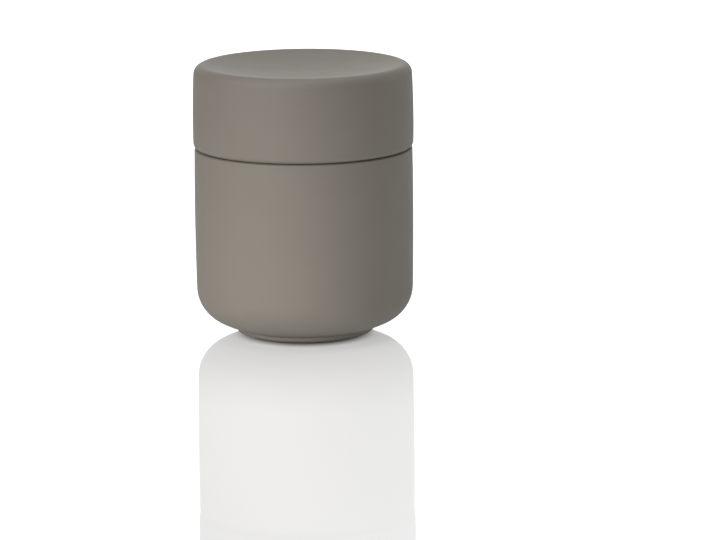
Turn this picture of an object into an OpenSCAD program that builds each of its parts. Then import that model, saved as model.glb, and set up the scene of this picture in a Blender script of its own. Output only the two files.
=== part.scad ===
// A round stoneware jar with a hollow lid. A soft ring round the lid's collar seals the mouth.
// Millimetres, +Z up. The origin is the middle of the foot, on the surface that the jar stands on.

/* [Jar] */
// Height of the jar's rim
rim_h = 69.7; // [60:0.1:90]
// Outer radius of the jar at the widest part of its side
jar_r = 40.8; // [36:0.1:48]
// Height of that widest part
jar_wide_h = 47.5; // [30:0.5:56]
// Radius of the slight swell in the jar's side
jar_swell_r = 1390; // [800:10:4000]
// Radius of the bend at the bottom of the side
bend_r = 13.6; // [8:0.1:18]
// Radius of the wide curve between the bend and the foot
under_r = 39; // [28:0.5:60]
// Slope of that curve where it meets the foot, in degrees
under_slope = 15; // [4:0.1:20]
// Thickness of the jar's wall and floor
jar_wall = 4.2; // [3:0.1:6]
// Rounding of the rim's outer edge
rim_edge = 0.7; // [0.2:0.05:1.5]
// Rounding of the rim's inner edge
mouth_edge = 1.2; // [0.4:0.05:1.8]

/* [Foot] */
// Outer radius of the foot ring
foot_r = 25.7; // [18:0.1:28]
// Width of the foot ring
foot_w = 5.6; // [4.5:0.1:8]
// Height of the foot ring below the jar's underside
foot_h = 2.3; // [1.8:0.1:3]
// How far the underside inside the foot ring is raised
foot_hollow = 1.2; // [0.8:0.1:2.5]
// Rounding of the foot ring's inner edges
foot_edge = 0.6; // [0.1:0.05:0.8]
// Width of the oval rounding below the foot ring's outer side
foot_round_w = 2.7; // [1:0.1:3.5]
// Height of the oval rounding below the foot ring's outer side
foot_round_h = 1.4; // [0.4:0.1:1.6]
// Rounding in the corner between the foot ring and the underside
foot_cove = 0.8; // [0.2:0.1:1.2]

/* [Lid] */
// Height of the lid from its lower edge to its crest
lid_h = 31; // [24:0.05:40]
// How far the lid's widest part stands out past the jar's
lid_overhang = 0.3; // [0:0.05:2]
// Height of the lid's widest part above its lower edge
lid_wide_h = 9.6; // [6:0.1:16]
// Radius of the slight swell in the lid's side
lid_swell_r = 350; // [150:1:800]
// Thickness of the lid's wall
lid_wall = 4; // [2.5:0.1:5]
// Rounding of the lid's lower edge
lid_edge = 1.8; // [0.5:0.1:2.5]
// Rounding of the lid's top corner
crest_round = 3.6; // [2:0.1:6]
// Depth of the dish in the lid's top
dish_depth = 3.8; // [1:0.1:5]
// Rounding between the crest and the dish
dish_lip = 6; // [2:0.5:12]
// Rounding inside the lid's hollow
hollow_round = 3.5; // [2:0.1:6]

/* [Collar] */
// How far the collar reaches down into the mouth
collar_drop = 9; // [7:0.1:14]
// Room between the collar and the mouth, where the seal's fins stand
collar_room = 2; // [1.5:0.1:3]
// Thickness of the collar
collar_wall = 3.2; // [2.6:0.1:4.5]
// Depth of the groove that holds the seal
groove_depth = 1; // [0.5:0.1:1.4]
// Height of the collar's bead below the groove
bead_h = 1.6; // [1:0.1:2.5]
// Rounding of the collar's lower edges
collar_edge = 0.8; // [0.3:0.1:1.2]
// Rounding where the collar runs into the lid's hollow
throat_round = 1.8; // [1:0.1:3]

/* [Seal] */
// Thickness of the seal's flange, on which the lid rests
flange_t = 0.3; // [0.2:0.05:1.2]
// How far the flange's edge stands back from the side of the jar's rim
flange_inset = 1; // [0.4:0.1:3]
// Thickness of the seal's band
band_t = 1.3; // [0.8:0.1:1.8]
// Number of fins
fin_count = 3; // [1:1:3]
// Distance from one fin to the next
fin_pitch = 1.9; // [1.6:0.1:2.2]
// Depth of the first fin below the rim
fin_start = 1.7; // [1.5:0.1:2.2]
// Thickness of a fin where it leaves the band
fin_root = 0.8; // [0.5:0.1:1]
// Thickness of a fin at its tip
fin_tip = 0.4; // [0.2:0.1:0.5]
// How far a fin's tip stands above its root
fin_lift = 0.5; // [0:0.1:0.8]

/* [Fits] */
// Running clearance between the groove and the seal's band
band_fit = 0.1; // [0.05:0.01:0.3]
// Running clearance between the fins and the mouth
fin_fit = 0.15; // [0.05:0.01:0.3]
// Clearance between the seal's lower end and the collar's bead
band_end_fit = 0.2; // [0.05:0.05:0.5]

/* [Hidden] */
stoneware_colour = "#8d867c";
seal_colour = "#45423f";
turn_steps = 128;
arc_steps = 12;

lid_base = rim_h + flange_t;
lid_top = lid_base + lid_h;
lid_r = jar_r + lid_overhang;
foot_in_r = foot_r - foot_w;

// The foot's roundings take no more than the ring's two sides give
foot_in_edge = min(foot_edge, foot_hollow / 2);
cove_r = min(foot_cove, foot_h - foot_round_h);

// Centres of the arcs in the jar's outline, and the angles where they meet
under_centre = [foot_r - under_r * sin(under_slope), foot_h + under_r * cos(under_slope)];
cove_centre = [foot_r + cove_r, under_centre.y - leg(under_r + cove_r, foot_r + cove_r - under_centre.x)];
belly_centre = [jar_r - jar_swell_r, jar_wide_h];
bend_centre = meet(belly_centre, jar_swell_r - bend_r, under_centre, under_r - bend_r);
rim_centre = rider(belly_centre, jar_swell_r, rim_edge, rim_h - rim_edge);
bend_low = heading(under_centre, bend_centre);
bend_high = heading(belly_centre, bend_centre);
rim_turn = heading(belly_centre, rim_centre);

// The rim's outer radius, and radii of the mouth and of the collar in it
rim_r = rider(belly_centre, jar_swell_r, 0, rim_h).x;
mouth_r = rim_r - jar_wall;
collar_r = mouth_r - collar_room;
collar_in_r = collar_r - collar_wall;
groove_r = collar_r - groove_depth;
collar_bottom = lid_base - collar_drop;
bead_top = collar_bottom + bead_h;

// Centres of the arcs in the lid's outline
swell_centre = [lid_r - lid_swell_r, lid_base + lid_wide_h];
edge_centre = rider(swell_centre, lid_swell_r, lid_edge, lid_base + lid_edge);
crest_centre = rider(swell_centre, lid_swell_r, crest_round, lid_top - crest_round);
dish_r = (pow(crest_centre.x, 2) + pow(dish_depth, 2)) / (2 * dish_depth) - dish_lip;
dish_centre = [0, lid_top - dish_depth + dish_r];
lip_centre = [crest_centre.x, lid_top - dish_lip];
lip_angle = heading(dish_centre, lip_centre);

// Centres of the arcs inside the lid's hollow
hollow_low_centre = rider(
    swell_centre, lid_swell_r, lid_wall + hollow_round, lid_base + lid_wall + hollow_round);
hollow_high_centre = meet(
    swell_centre, lid_swell_r - lid_wall - hollow_round,
    dish_centre, dish_r + lid_wall + hollow_round);

// The collar's rounding takes no more than the shelf beside the hollow
throat_r = min(throat_round, hollow_low_centre.x - collar_in_r);

// The other short side of a right-angled triangle
function leg(long_side, short_side) = sqrt(pow(long_side, 2) - pow(short_side, 2));

// Angle of the way from one point to another
function heading(from, to) = atan2(to.y - from.y, to.x - from.x);

// Centre of a circle that touches a wider circle from within, at a given height
function rider(centre, radius, inset, height) =
    [centre.x + leg(radius - inset, height - centre.y), height];

// The outer of the two points where two circles cross
function meet(a, a_radius, b, b_radius) =
    let (
        gap = norm(b - a),
        along = (pow(a_radius, 2) - pow(b_radius, 2) + pow(gap, 2)) / (2 * gap),
        across = leg(a_radius, along),
        way = (b - a) / gap)
    a + along * way + across * [way.y, -way.x];

// Points along an arc about a centre
function arc(centre, radius, from, to) =
    [for (i = [0:arc_steps])
        let (angle = from + (to - from) * i / arc_steps)
        centre + radius * [cos(angle), sin(angle)]];

// Points along an oval about a centre
function oval(centre, half_w, half_h, from, to) =
    [for (i = [0:arc_steps])
        let (angle = from + (to - from) * i / arc_steps)
        centre + [half_w * cos(angle), half_h * sin(angle)]];

// The jar's outline: its underside, foot, side, rim and inside
function jar_outline() = concat(
    [[0, foot_hollow]],
    arc([foot_in_r - foot_in_edge, foot_hollow - foot_in_edge], foot_in_edge, 90, 0),
    arc([foot_in_r + foot_in_edge, foot_in_edge], foot_in_edge, 180, 270),
    oval([foot_r - foot_round_w, foot_round_h], foot_round_w, foot_round_h, -90, 0),
    arc(cove_centre, cove_r, 180, heading(cove_centre, under_centre)),
    arc(under_centre, under_r, heading(under_centre, cove_centre), bend_low),
    arc(bend_centre, bend_r, bend_low, bend_high),
    arc(belly_centre, jar_swell_r, bend_high, rim_turn),
    arc(rim_centre, rim_edge, rim_turn, 90),
    arc([mouth_r + mouth_edge, rim_h - mouth_edge], mouth_edge, 90, 180),
    arc(bend_centre, bend_r - jar_wall, 0, bend_low),
    arc(under_centre, under_r - jar_wall, bend_low, -90),
    [[0, under_centre.y - under_r + jar_wall]]);

// The lid's outer surface, from the middle of the dish to the inner end of its seat
function lid_skin() = concat(
    arc(dish_centre, dish_r, -90, lip_angle),
    arc(lip_centre, dish_lip, lip_angle + 180, 90),
    arc(crest_centre, crest_round, 90, heading(swell_centre, crest_centre)),
    arc(swell_centre, lid_swell_r, heading(swell_centre, crest_centre), heading(swell_centre, edge_centre)),
    arc(edge_centre, lid_edge, heading(swell_centre, edge_centre), -90),
    [[groove_r, lid_base]]);

// The collar below the seat, with its groove and bead
function collar_outline() = concat(
    [[groove_r, bead_top], [collar_r, bead_top]],
    arc([collar_r - collar_edge, collar_bottom + collar_edge], collar_edge, 0, -90),
    arc([collar_in_r + collar_edge, collar_bottom + collar_edge], collar_edge, 270, 180),
    arc([collar_in_r + throat_r, lid_base + lid_wall - throat_r], throat_r, 180, 90));

// The lid's hollow, from the collar's throat to the middle of the ceiling
function hollow_outline() = concat(
    arc(hollow_low_centre, hollow_round, -90, heading(swell_centre, hollow_low_centre)),
    arc(swell_centre, lid_swell_r - lid_wall,
        heading(swell_centre, hollow_low_centre), heading(swell_centre, hollow_high_centre)),
    arc(hollow_high_centre, hollow_round,
        heading(swell_centre, hollow_high_centre), heading(hollow_high_centre, dish_centre)),
    arc(dish_centre, dish_r + lid_wall, heading(dish_centre, hollow_high_centre), -90));

module jar_body() {
    color(stoneware_colour)
    rotate_extrude($fn = turn_steps)
    polygon(jar_outline());
}

module lid() {
    color(stoneware_colour)
    rotate_extrude($fn = turn_steps)
    polygon(concat(lid_skin(), collar_outline(), hollow_outline()));
}

// One fin's outline, with its root at a given height
module fin_outline(height) {
    band_out_r = groove_r + band_fit + band_t;
    tip_r = mouth_r - fin_fit;
    polygon([
        [band_out_r - band_t / 2, height - fin_root / 2],
        [band_out_r, height - fin_root / 2],
        [tip_r, height + fin_lift - fin_tip / 2],
        [tip_r, height + fin_lift + fin_tip / 2],
        [band_out_r, height + fin_root / 2],
        [band_out_r - band_t / 2, height + fin_root / 2]]);
}

module seal_ring() {
    band_in_r = groove_r + band_fit;
    band_low = bead_top + band_end_fit;
    color(seal_colour)
    rotate_extrude($fn = turn_steps)
    union() {
        translate([band_in_r, band_low])
            square([band_t, lid_base - band_low]);
        translate([band_in_r, rim_h])
            square([rim_r - flange_inset - band_in_r, flange_t]);
        for (i = [0:fin_count - 1])
            fin_outline(rim_h - fin_start - i * fin_pitch);
    }
}

jar_body();
lid();
seal_ring();
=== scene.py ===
"""The looks of a lidded stoneware jar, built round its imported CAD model.

Everything is in metres, in the CAD's frame: the origin is the middle of the foot, +Z is up and the
photographed view looks along +Y. Each piece is a turned mesh: an outline of radius and height that is
swept about the Z axis.
"""
import math

import bpy
from mathutils import Matrix, Vector


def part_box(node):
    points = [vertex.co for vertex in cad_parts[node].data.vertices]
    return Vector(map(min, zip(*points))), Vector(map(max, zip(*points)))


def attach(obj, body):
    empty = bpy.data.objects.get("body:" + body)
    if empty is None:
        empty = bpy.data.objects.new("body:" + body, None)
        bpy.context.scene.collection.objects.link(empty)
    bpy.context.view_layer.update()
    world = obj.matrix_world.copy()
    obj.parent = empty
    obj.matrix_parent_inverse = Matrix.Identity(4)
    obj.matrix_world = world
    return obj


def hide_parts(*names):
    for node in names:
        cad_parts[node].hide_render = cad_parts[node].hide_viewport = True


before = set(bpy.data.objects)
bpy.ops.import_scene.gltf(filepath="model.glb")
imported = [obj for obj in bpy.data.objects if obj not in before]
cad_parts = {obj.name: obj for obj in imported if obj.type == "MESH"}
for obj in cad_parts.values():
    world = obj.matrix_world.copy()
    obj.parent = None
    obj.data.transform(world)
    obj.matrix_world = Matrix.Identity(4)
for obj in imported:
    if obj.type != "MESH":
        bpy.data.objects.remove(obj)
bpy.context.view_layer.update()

# Overall sizes, taken from the CAD nodes
jar_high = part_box("jar_body")[1]
lid_low, lid_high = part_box("lid")
seal_low, seal_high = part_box("seal_ring")
rim_h = jar_high.z
jar_r = jar_high.x
lid_r = lid_high.x
lid_top = lid_high.z
lid_base = seal_high.z
collar_bottom = lid_low.z
flange_r = seal_high.x

# The sizes from here to the seal's are the ones that the CAD has. First the jar's.
jar_wide_h = 0.0475
jar_swell_r = 1.390
bend_r = 0.0136
under_r = 0.039
under_slope = 15.0
jar_wall = 0.0042
rim_edge = 0.0007
mouth_edge = 0.0012
foot_r = 0.0257
foot_w = 0.0056
foot_h = 0.0023
foot_hollow = 0.0012
foot_edge = 0.0006
foot_round_w = 0.0027
foot_round_h = 0.0014
foot_cove = 0.0008

# The lid's and its collar's
lid_wide_h = 0.0096
lid_swell_r = 0.350
lid_wall = 0.004
lid_edge = 0.0018
crest_round = 0.0036
dish_depth = 0.0038
dish_lip = 0.006
hollow_round = 0.0035
collar_room = 0.002
collar_wall = 0.0032
groove_depth = 0.001
bead_h = 0.0016
collar_edge = 0.0008
throat_round = 0.0018
groove_edge = 0.00025

# The seal's
flange_t = lid_base - rim_h
band_t = 0.0013
band_fit = 0.0001
fin_count = 3
fin_pitch = 0.0019
fin_start = 0.0017
fin_root = 0.0008
fin_tip = 0.0004
fin_lift = 0.0005
fin_fit = 0.00015
fin_tip_turn = 80.0
seal_edge = 0.00018

# How finely the meshes are turned: steps in a turn, degrees and metres in a step, and the sharp angle
turn_steps = 224
arc_step = 4.0
least_steps = 3
long_step = 0.002
crease = math.radians(32)
# Points closer together than the first are one, and a point closer to the axis than the second is on it
same_place = 1e-6
on_axis = 1e-7

foot_in_r = foot_r - foot_w
bead_top = collar_bottom + bead_h


def point(r, z):
    """A point of an outline, by radius and height."""
    return Vector((r, z))


def polar(radius, angle):
    """A step of a given length at an angle in degrees."""
    turn = math.radians(angle)
    return Vector((radius * math.cos(turn), radius * math.sin(turn)))


def heading(start, end):
    """Angle, in degrees, of the way from one point to another."""
    return math.degrees(math.atan2(end.y - start.y, end.x - start.x))


def leg(long_side, short_side):
    """The other short side of a right-angled triangle."""
    return math.sqrt(long_side ** 2 - short_side ** 2)


def meet(a, a_radius, b, b_radius):
    """The outer of the two points where two circles cross."""
    way = (b - a).normalized()
    gap = (b - a).length
    along = (a_radius ** 2 - b_radius ** 2 + gap ** 2) / (2 * gap)
    across = leg(a_radius, along)
    return a + along * way + across * Vector((way.y, -way.x))


def arc(centre, radius, start, end):
    """Points along an arc, close enough together to look round."""
    turn = abs(end - start)
    length = math.radians(turn) * radius
    steps = max(least_steps, math.ceil(turn / arc_step), math.ceil(length / long_step))
    return [centre + polar(radius, start + (end - start) * i / steps) for i in range(steps + 1)]


def oval(centre, half_w, half_h, start, end):
    """Points along an oval, close enough together to look round."""
    steps = max(least_steps, math.ceil(abs(end - start) / arc_step))
    angles = [math.radians(start + (end - start) * i / steps) for i in range(steps + 1)]
    return [centre + point(half_w * math.cos(a), half_h * math.sin(a)) for a in angles]


def line(start, end):
    """Points along a straight stretch."""
    steps = max(1, math.ceil((end - start).length / long_step))
    return [start.lerp(end, i / steps) for i in range(steps + 1)]


def rider(centre, radius, inset, height):
    """Centre of a circle that touches a wide circle from within, at a given height."""
    return point(centre.x + leg(radius - inset, height - centre.y), height)


# Centres of the arcs in the jar's outline
under_centre = point(foot_r, foot_h) + polar(under_r, 90 + under_slope)
belly_centre = point(jar_r - jar_swell_r, jar_wide_h)
cove_centre = point(foot_r + foot_cove, under_centre.y - leg(
    under_r + foot_cove, foot_r + foot_cove - under_centre.x))
bend_centre = meet(belly_centre, jar_swell_r - bend_r, under_centre, under_r - bend_r)
rim_centre = rider(belly_centre, jar_swell_r, rim_edge, rim_h - rim_edge)
bend_low = heading(under_centre, bend_centre)
bend_high = heading(belly_centre, bend_centre)
rim_turn = heading(belly_centre, rim_centre)

# Radii of the mouth and of what stands in it
rim_r = rider(belly_centre, jar_swell_r, 0, rim_h).x
mouth_r = rim_r - jar_wall
collar_r = mouth_r - collar_room
collar_in_r = collar_r - collar_wall
groove_r = collar_r - groove_depth

# Centres of the arcs in the lid's outline
swell_centre = point(lid_r - lid_swell_r, lid_base + lid_wide_h)
edge_centre = rider(swell_centre, lid_swell_r, lid_edge, lid_base + lid_edge)
crest_centre = rider(swell_centre, lid_swell_r, crest_round, lid_top - crest_round)
dish_r = (crest_centre.x ** 2 + dish_depth ** 2) / (2 * dish_depth) - dish_lip
dish_centre = point(0, lid_top - dish_depth + dish_r)
lip_centre = point(crest_centre.x, lid_top - dish_lip)
lip_angle = heading(dish_centre, lip_centre)
hollow_low_centre = rider(swell_centre, lid_swell_r, lid_wall + hollow_round,
                          lid_base + lid_wall + hollow_round)
hollow_high_centre = meet(
    swell_centre, lid_swell_r - lid_wall - hollow_round,
    dish_centre, dish_r + lid_wall + hollow_round)


def jar_outline():
    """Runs of the jar's outline, each with the name of its finish."""
    underside = [point(0, foot_hollow)] + arc(
        point(foot_in_r - foot_edge, foot_hollow - foot_edge), foot_edge, 90, 0)
    ring = (arc(point(foot_in_r + foot_edge, foot_edge), foot_edge, 180, 270)
            + [point(foot_r - foot_round_w, 0)])
    foot_round = point(foot_r - foot_round_w, foot_round_h)
    outside = (oval(foot_round, foot_round_w, foot_round_h, -90, 0)
               + arc(cove_centre, foot_cove, 180, heading(cove_centre, under_centre))
               + arc(under_centre, under_r, heading(under_centre, cove_centre), bend_low)
               + arc(bend_centre, bend_r, bend_low, bend_high)
               + arc(belly_centre, jar_swell_r, bend_high, rim_turn)
               + arc(rim_centre, rim_edge, rim_turn, 90))
    rim = arc(point(mouth_r + mouth_edge, rim_h - mouth_edge), mouth_edge, 90, 180)
    inside = (line(point(mouth_r, rim_h - mouth_edge), bend_centre + point(bend_r - jar_wall, 0))
              + arc(bend_centre, bend_r - jar_wall, 0, bend_low)
              + arc(under_centre, under_r - jar_wall, bend_low, -90)
              + line(under_centre - point(0, under_r - jar_wall),
                     point(0, under_centre.y - under_r + jar_wall)))
    return [("coat", underside), ("clay", ring), ("coat", outside), ("glaze", rim + inside)]


def lid_outline():
    """Runs of the lid's outline, each with the name of its finish."""
    top_turn = heading(swell_centre, crest_centre)
    edge_turn = heading(swell_centre, edge_centre)
    outside = (arc(dish_centre, dish_r, -90, lip_angle)
               + arc(lip_centre, dish_lip, lip_angle + 180, 90)
               + arc(crest_centre, crest_round, 90, top_turn)
               + arc(swell_centre, lid_swell_r, top_turn, edge_turn)
               + arc(edge_centre, lid_edge, edge_turn, -90))
    groove_foot_r = groove_r + groove_edge
    bead_r = collar_r - groove_edge
    edge_h = collar_bottom + collar_edge
    throat_h = lid_base + lid_wall - throat_round
    seat = line(point(edge_centre.x, lid_base), point(groove_foot_r, lid_base))
    collar = (arc(point(groove_foot_r, bead_top + groove_edge), groove_edge, 180, 270)
              + line(point(groove_foot_r, bead_top), point(bead_r, bead_top))
              + arc(point(bead_r, bead_top - groove_edge), groove_edge, 90, 0)
              + arc(point(collar_r - collar_edge, edge_h), collar_edge, 0, -90)
              + arc(point(collar_in_r + collar_edge, edge_h), collar_edge, 270, 180)
              + arc(point(collar_in_r + throat_round, throat_h), throat_round, 180, 90))
    low_turn = heading(swell_centre, hollow_low_centre)
    high_turn = heading(swell_centre, hollow_high_centre)
    ceiling_turn = heading(hollow_high_centre, dish_centre)
    hollow = (arc(hollow_low_centre, hollow_round, -90, low_turn)
              + arc(swell_centre, lid_swell_r - lid_wall, low_turn, high_turn)
              + arc(hollow_high_centre, hollow_round, high_turn, ceiling_turn)
              + arc(dish_centre, dish_r + lid_wall, heading(dish_centre, hollow_high_centre), -90))
    return [("coat", outside), ("glaze", seat + collar + hollow)]


def seal_outline():
    """The seal's outline: its band, its fins and its flange, with small moulded edges."""
    band_in_r = groove_r + band_fit
    band_out_r = band_in_r + band_t
    band_low = seal_low.z
    tip_r = mouth_r - fin_fit
    outline = arc(point(band_in_r + seal_edge, band_low + seal_edge), seal_edge, 180, 270)
    outline += arc(point(band_out_r - seal_edge, band_low + seal_edge), seal_edge, -90, 0)
    for i in reversed(range(fin_count)):
        root = rim_h - fin_start - i * fin_pitch
        tip = point(tip_r - fin_tip / 2, root + fin_lift)
        outline.append(point(band_out_r, root - fin_root / 2))
        outline += arc(tip, fin_tip / 2, -fin_tip_turn, fin_tip_turn)
        outline.append(point(band_out_r, root + fin_root / 2))
    outline.append(point(band_out_r, rim_h))
    flange_round = flange_t / 2
    outline += arc(point(flange_r - flange_round, rim_h + flange_round), flange_round, -90, 90)
    outline.append(point(band_in_r, lid_base))
    return [("silicone", outline)]


def turned(name, runs, finishes, closed):
    """Sweeps the runs of an outline about the Z axis and gives each run its finish."""
    outline = []
    run_finish = []
    slots = sorted({finish for finish, _ in runs})
    for finish, points in runs:
        for p in points:
            if outline and (p - outline[-1]).length < same_place:
                continue
            outline.append(p)
            run_finish.append(slots.index(finish))
    if closed:
        run_finish[0] = run_finish[-1]
    vertices = []
    rings = []
    for p in outline:
        count = 1 if p.x < on_axis else turn_steps
        rings.append(range(len(vertices), len(vertices) + count))
        for k in range(count):
            angle = 2 * math.pi * k / turn_steps
            vertices.append((p.x * math.cos(angle), p.x * math.sin(angle), p.y))
    faces = []
    face_finish = []
    for i in range(0 if closed else 1, len(outline)):
        low, high = rings[i - 1], rings[i]
        for k in range(turn_steps):
            after = (k + 1) % turn_steps
            if len(low) == 1:
                face = (low[0], high[after], high[k])
            elif len(high) == 1:
                face = (low[k], low[after], high[0])
            else:
                face = (low[k], low[after], high[after], high[k])
            faces.append(face)
            face_finish.append(run_finish[i])
    mesh = bpy.data.meshes.new(name)
    mesh.from_pydata(vertices, [], faces)
    for slot in slots:
        mesh.materials.append(finishes[slot])
    mesh.polygons.foreach_set("material_index", face_finish)
    mesh.polygons.foreach_set("use_smooth", [True] * len(faces))
    mesh.set_sharp_from_angle(angle=crease)
    mesh.validate()
    piece = bpy.data.objects.new(name, mesh)
    bpy.context.scene.collection.objects.link(piece)
    return piece


# The middle range of a noise, where most of its values lie
noise_low = 0.3
noise_high = 0.7


class Nodes:
    """A material's node tree, with short calls for making and joining its nodes."""

    def __init__(self, name):
        self.material = bpy.data.materials.new(name)
        self.material.use_nodes = True
        self.tree = self.material.node_tree
        self.tree.nodes.clear()
        output = self.add("ShaderNodeOutputMaterial")
        self.shader = self.add("ShaderNodeBsdfPrincipled")
        self.join(self.shader.outputs["BSDF"], output.inputs["Surface"])
        coordinates = self.add("ShaderNodeTexCoord")
        self.place = coordinates.outputs["Object"]

    def add(self, kind, **settings):
        node = self.tree.nodes.new(kind)
        for key, value in settings.items():
            setattr(node, key, value)
        return node

    def join(self, source, target):
        self.tree.links.new(source, target)

    def noise(self, size, detail=2.0, roughness=0.5):
        """A noise value whose features are about size metres across."""
        noise = self.add("ShaderNodeTexNoise")
        noise.inputs["Scale"].default_value = 1 / size
        noise.inputs["Detail"].default_value = detail
        noise.inputs["Roughness"].default_value = roughness
        self.join(self.place, noise.inputs["Vector"])
        return noise.outputs["Fac"]

    def spread(self, value, low, high, from_low=noise_low, from_high=noise_high):
        """Maps a range of a value, such as a noise's middle range, on to low to high."""
        node = self.add("ShaderNodeMapRange")
        node.inputs["From Min"].default_value = from_low
        node.inputs["From Max"].default_value = from_high
        node.inputs["To Min"].default_value = low
        node.inputs["To Max"].default_value = high
        self.join(value, node.inputs["Value"])
        return node.outputs["Result"]

    def tint(self, value, dark, light):
        """A colour between two by a value."""
        mix = self.add("ShaderNodeMix", data_type="RGBA")
        colours = [socket for socket in mix.inputs if socket.type == "RGBA"]
        colours[0].default_value = (*dark, 1)
        colours[1].default_value = (*light, 1)
        self.join(value, mix.inputs["Factor"])
        return next(socket for socket in mix.outputs if socket.type == "RGBA")

    def plus(self, a, b):
        """The sum of two values."""
        node = self.add("ShaderNodeMath", operation="ADD")
        self.join(a, node.inputs[0])
        self.join(b, node.inputs[1])
        return node.outputs["Value"]

    def relief(self, value, depth, before=None):
        """A bump of the given depth in metres."""
        bump = self.add("ShaderNodeBump")
        bump.inputs["Strength"].default_value = 1.0
        bump.inputs["Distance"].default_value = depth
        self.join(value, bump.inputs["Height"])
        if before:
            self.join(before, bump.inputs["Normal"])
        return bump.outputs["Normal"]

    def paint(self, value, colour, darker, lighter):
        """Gives the shader a colour that a value makes darker or lighter, by up to those shares."""
        tone = self.tint(self.spread(value, 0, 1), shade(colour, -darker), shade(colour, lighter))
        self.join(tone, self.shader.inputs["Base Color"])

    def roughen(self, value, low, high):
        """Lets a value take the shader's roughness from low to high."""
        self.join(self.spread(value, low, high), self.shader.inputs["Roughness"])

    def emboss(self, normal):
        """Gives the shader the normal that bumps have made."""
        self.join(normal, self.shader.inputs["Normal"])


def shade(colour, share):
    """A colour made lighter or darker by a share."""
    return tuple(channel * (1 + share) for channel in colour)


# Linear colours of the finishes
coat_colour = (0.158, 0.142, 0.118)
glaze_colour = (0.34, 0.315, 0.275)
clay_colour = (0.46, 0.41, 0.34)
silicone_colour = (0.066, 0.056, 0.043)

# The clear layer on the glaze
glaze_clear_share = 0.3
glaze_clear_roughness = 0.12


def soft_touch_coat():
    """The sprayed matte coat: an even warm grey with the faintest cloudiness and a fine tooth."""
    n = Nodes("soft_touch_coat")
    n.paint(n.noise(size=0.018, detail=3), coat_colour, darker=0.015, lighter=0.015)
    n.roughen(n.noise(size=0.006), low=0.58, high=0.62)
    tooth = n.relief(n.noise(size=0.00035), depth=0.000006)
    n.emboss(n.relief(n.noise(size=0.0022), depth=0.00001, before=tooth))
    return n.material


def inner_glaze():
    """The glaze inside the jar and lid: satin, lighter than the coat, with slight pooling and waves."""
    n = Nodes("inner_glaze")
    n.paint(n.noise(size=0.012, detail=4), glaze_colour, darker=0.05, lighter=0.05)
    n.roughen(n.noise(size=0.004), low=0.24, high=0.36)
    n.emboss(n.relief(n.noise(size=0.0035), depth=0.00004))
    n.shader.inputs["Coat Weight"].default_value = glaze_clear_share
    n.shader.inputs["Coat Roughness"].default_value = glaze_clear_roughness
    return n.material


def bare_clay():
    """The foot ring's face, wiped clean of glaze and coat: dry fired clay with a sandy grain."""
    n = Nodes("bare_clay")
    grain = n.noise(size=0.0005, detail=6, roughness=0.7)
    n.paint(grain, clay_colour, darker=0.18, lighter=0.1)
    n.roughen(grain, low=0.82, high=0.95)
    n.emboss(n.relief(grain, depth=0.00006))
    return n.material


def silicone():
    """The seal's moulded silicone: dark grey, matte, with a dusty bloom."""
    n = Nodes("silicone")
    bloom = n.noise(size=0.003, detail=4)
    n.paint(bloom, silicone_colour, darker=0.15, lighter=0.25)
    n.roughen(bloom, low=0.48, high=0.62)
    n.emboss(n.relief(n.noise(size=0.0003), depth=0.000008))
    return n.material


finishes = {
    "coat": soft_touch_coat(),
    "glaze": inner_glaze(),
    "clay": bare_clay(),
    "silicone": silicone(),
}

jar_piece = turned("jar_stoneware", jar_outline(), finishes, closed=False)
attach(jar_piece, "jar")
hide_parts("jar_body")

lid_piece = turned("lid_stoneware", lid_outline(), finishes, closed=False)
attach(lid_piece, "lid")
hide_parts("lid")

seal_piece = turned("seal_silicone", seal_outline(), finishes, closed=True)
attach(seal_piece, "seal")
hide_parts("seal_ring")

# The photograph's camera: a long lens from 1.6 m, looking a little down, with a slight roll
photo_w = 716
photo_h = 540
sensor_w = 36
camera_far = 1.6
camera_rise = math.radians(10.46)
camera_roll = math.radians(-0.63)
focal_px = 4284.6
aim = Vector((0, 0, 0.05))
aim_px = (304.88, 197.91)
clip_near = 0.01
clip_far = 100


def make_camera():
    """Stands the camera so that the aim point lands on its pixel of the photograph."""
    data = bpy.data.cameras.new("camera")
    data.sensor_fit = "HORIZONTAL"
    data.sensor_width = sensor_w
    data.lens = focal_px / photo_w * sensor_w
    data.clip_start = clip_near
    data.clip_end = clip_far
    camera = bpy.data.objects.new("camera", data)
    bpy.context.scene.collection.objects.link(camera)
    bpy.context.scene.camera = camera
    forward = Vector((0, math.cos(camera_rise), -math.sin(camera_rise)))
    right = Vector((1, 0, 0))
    up = right.cross(forward)
    yaw = math.atan2(aim_px[0] - photo_w / 2, focal_px)
    pitch = math.atan2(photo_h / 2 - aim_px[1], focal_px)
    look = forward * math.cos(yaw) - right * math.sin(yaw)
    side = right * math.cos(yaw) + forward * math.sin(yaw)
    look, up = (look * math.cos(pitch) - up * math.sin(pitch),
                up * math.cos(pitch) + look * math.sin(pitch))
    side, up = (side * math.cos(camera_roll) + up * math.sin(camera_roll),
                up * math.cos(camera_roll) - side * math.sin(camera_roll))
    turn = Matrix((side, up, -look)).transposed().to_4x4()
    camera.matrix_world = Matrix.Translation(aim - forward * camera_far) @ turn


# The stage: a glossy white table whose glow stands in for light from below, with painted shadow round
# the jar's foot, in a pale studio
floor_half = 6.0
floor_colour = (0.45, 0.45, 0.45)
floor_cloud = 0.01
studio_white = (1.0, 1.0, 1.0)
# The table's glow comes back in two steps past its painted shadows, each over a range of distances:
# round the foot, from a centre a little to the front, and near the jar
painted_foot_shadow = (0.019, 0.028)
# Centre of the painted shadow round the foot, set a little in front of the foot
painted_shadow_place = (0, -0.005, 0)
near_glow = 0.4
painted_jar_shadow = (0.05, 0.15)
further_glow = 0.1


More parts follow.
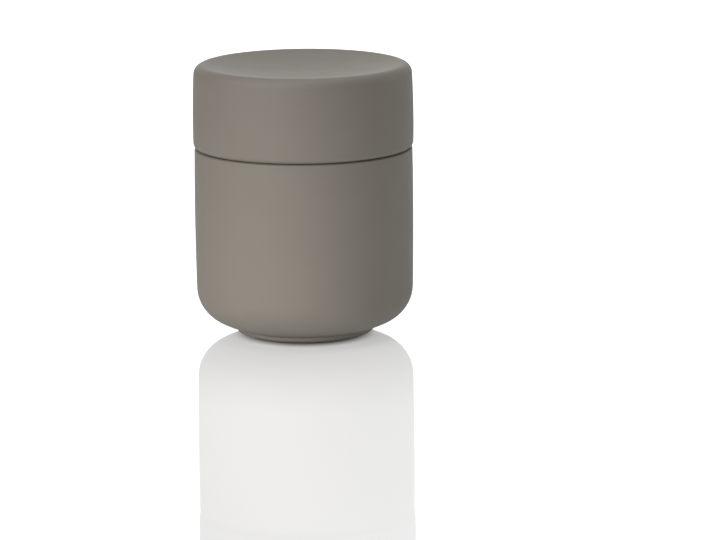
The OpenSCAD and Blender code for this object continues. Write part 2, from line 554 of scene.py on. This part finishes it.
def make_floor():
    """Lays the table, whose glow is cut round the foot and weaker near the jar: painted shadows of the
    foot and of the jar.
    """
    mesh = bpy.data.meshes.new("floor")
    corners = [(-floor_half, -floor_half, 0), (floor_half, -floor_half, 0),
               (floor_half, floor_half, 0), (-floor_half, floor_half, 0)]
    mesh.from_pydata(corners, [], [(0, 1, 2, 3)])
    floor = bpy.data.objects.new("floor", mesh)
    bpy.context.scene.collection.objects.link(floor)
    n = Nodes("white_acrylic_painted_shadow")
    n.join(n.tint(n.noise(size=0.3), shade(floor_colour, -floor_cloud), floor_colour),
           n.shader.inputs["Base Color"])
    n.roughen(n.noise(size=0.2), low=0.02, high=0.04)
    # Painted shade: no glow in a disc round the foot, a painted contact shadow, and less glow near the
    # jar, a painted shadow of the jar
    reach = n.add("ShaderNodeVectorMath", operation="LENGTH")
    n.join(n.place, reach.inputs[0])
    by_foot = n.add("ShaderNodeVectorMath", operation="DISTANCE")
    n.join(n.place, by_foot.inputs[0])
    by_foot.inputs[1].default_value = painted_shadow_place
    near = n.spread(by_foot.outputs["Value"], 0, near_glow, *painted_foot_shadow)
    further = n.spread(reach.outputs["Value"], 0, further_glow, *painted_jar_shadow)
    near.node.interpolation_type = "SMOOTHSTEP"
    further.node.interpolation_type = "SMOOTHSTEP"
    n.join(n.plus(near, further), n.shader.inputs["Emission Strength"])
    n.shader.inputs["Emission Color"].default_value = (*studio_white, 1)
    mesh.materials.append(n.material)


def bearing(azimuth, elevation):
    """A direction from the jar. Azimuth 0 is the camera's side, and +90 is to the right."""
    a = math.radians(azimuth)
    e = math.radians(elevation)
    return Vector((math.sin(a) * math.cos(e), -math.cos(a) * math.cos(e), math.sin(e)))


class Studio:
    """Walls far away that the camera sees white, and that light the jar by a few soft glows."""

    def __init__(self):
        world = bpy.data.worlds.new("studio")
        bpy.context.scene.world = world
        world.use_nodes = True
        self.tree = world.node_tree
        self.tree.nodes.clear()
        self.place = self.tree.nodes.new("ShaderNodeTexCoord").outputs["Generated"]
        self.light = None

    def combine(self, operation, first, second):
        """The result of a sum on two numbers or node values."""
        node = self.tree.nodes.new("ShaderNodeMath")
        node.operation = operation
        for socket, value in zip(node.inputs, (first, second)):
            if isinstance(value, (int, float)):
                socket.default_value = value
            else:
                self.tree.links.new(value, socket)
        return node.outputs["Value"]

    def glow(self, azimuth, elevation, brightness, tightness):
        """A soft patch of light in the walls."""
        dot = self.tree.nodes.new("ShaderNodeVectorMath")
        dot.operation = "DOT_PRODUCT"
        dot.inputs[1].default_value = bearing(azimuth, elevation)
        self.tree.links.new(self.place, dot.inputs[0])
        facing = self.combine("MAXIMUM", dot.outputs["Value"], 0)
        patch = self.combine("MULTIPLY", self.combine("POWER", facing, tightness), brightness)
        self.light = self.combine("ADD", self.light, patch) if self.light else patch

    def finish(self):
        """Shows the camera plain white, and everything else the glows."""
        output = self.tree.nodes.new("ShaderNodeOutputWorld")
        seen = self.tree.nodes.new("ShaderNodeBackground")
        seen.inputs["Color"].default_value = (*studio_white, 1)
        lit = self.tree.nodes.new("ShaderNodeBackground")
        lit.inputs["Color"].default_value = (*studio_white, 1)
        self.tree.links.new(self.light, lit.inputs["Strength"])
        path = self.tree.nodes.new("ShaderNodeLightPath")
        mix = self.tree.nodes.new("ShaderNodeMixShader")
        self.tree.links.new(path.outputs["Is Camera Ray"], mix.inputs["Fac"])
        self.tree.links.new(lit.outputs["Background"], mix.inputs[1])
        self.tree.links.new(seen.outputs["Background"], mix.inputs[2])
        self.tree.links.new(mix.outputs["Shader"], output.inputs["Surface"])


def lamp(name, place, size, power, target, spread=180, mirrored=True):
    """A round soft light that the camera doesn't see, nor gloss where it isn't mirrored.

    Its spread is in degrees.
    """
    data = bpy.data.lights.new(name, "AREA")
    data.shape = "DISK"
    data.size = size
    data.energy = power
    data.spread = math.radians(spread)
    light = bpy.data.objects.new(name, data)
    light.visible_camera = False
    light.visible_glossy = mirrored
    bpy.context.scene.collection.objects.link(light)
    light.matrix_world = (Matrix.Translation(place)
                          @ (target - place).to_track_quat("-Z", "Y").to_matrix().to_4x4())


# The studio's glows: azimuth and elevation in degrees, brightness and tightness
glows = (
    (-45, 35, 2.6, 8),
    (-30, 20, 2.2, 12),
    (180, 5, 2.0, 12),
    (180, 35, 0.5, 8),
    (120, 5, 1.4, 12),
    (120, 20, 0.8, 12),
)
# The lamp over the lid, in metres and watts
top_place = Vector((0, 0, 0.55))
top_size = 0.4
top_power = 1.05
# The low lamps on the jar's bend: name, azimuth, distance, height, size and spread
low_lamps = (
    ("low_left", -45, 0.35, 0.02, 0.06, 45),
    ("low_front", 5, 0.45, 0.03, 0.07, 40),
)
low_power = 0.024
low_aim = Vector((0, 0, 0.01))

make_camera()
make_floor()
studio = Studio()
for azimuth, elevation, brightness, tightness in glows:
    studio.glow(azimuth, elevation, brightness, tightness)
studio.finish()
lamp("top_lamp", top_place, top_size, top_power, aim)
for name, azimuth, distance, height, size, spread in low_lamps:
    place = distance * bearing(azimuth, 0) + Vector((0, 0, height))
    lamp(name, place, size, low_power, low_aim, spread=spread, mirrored=False)

bpy.context.scene.view_settings.view_transform = "Standard"
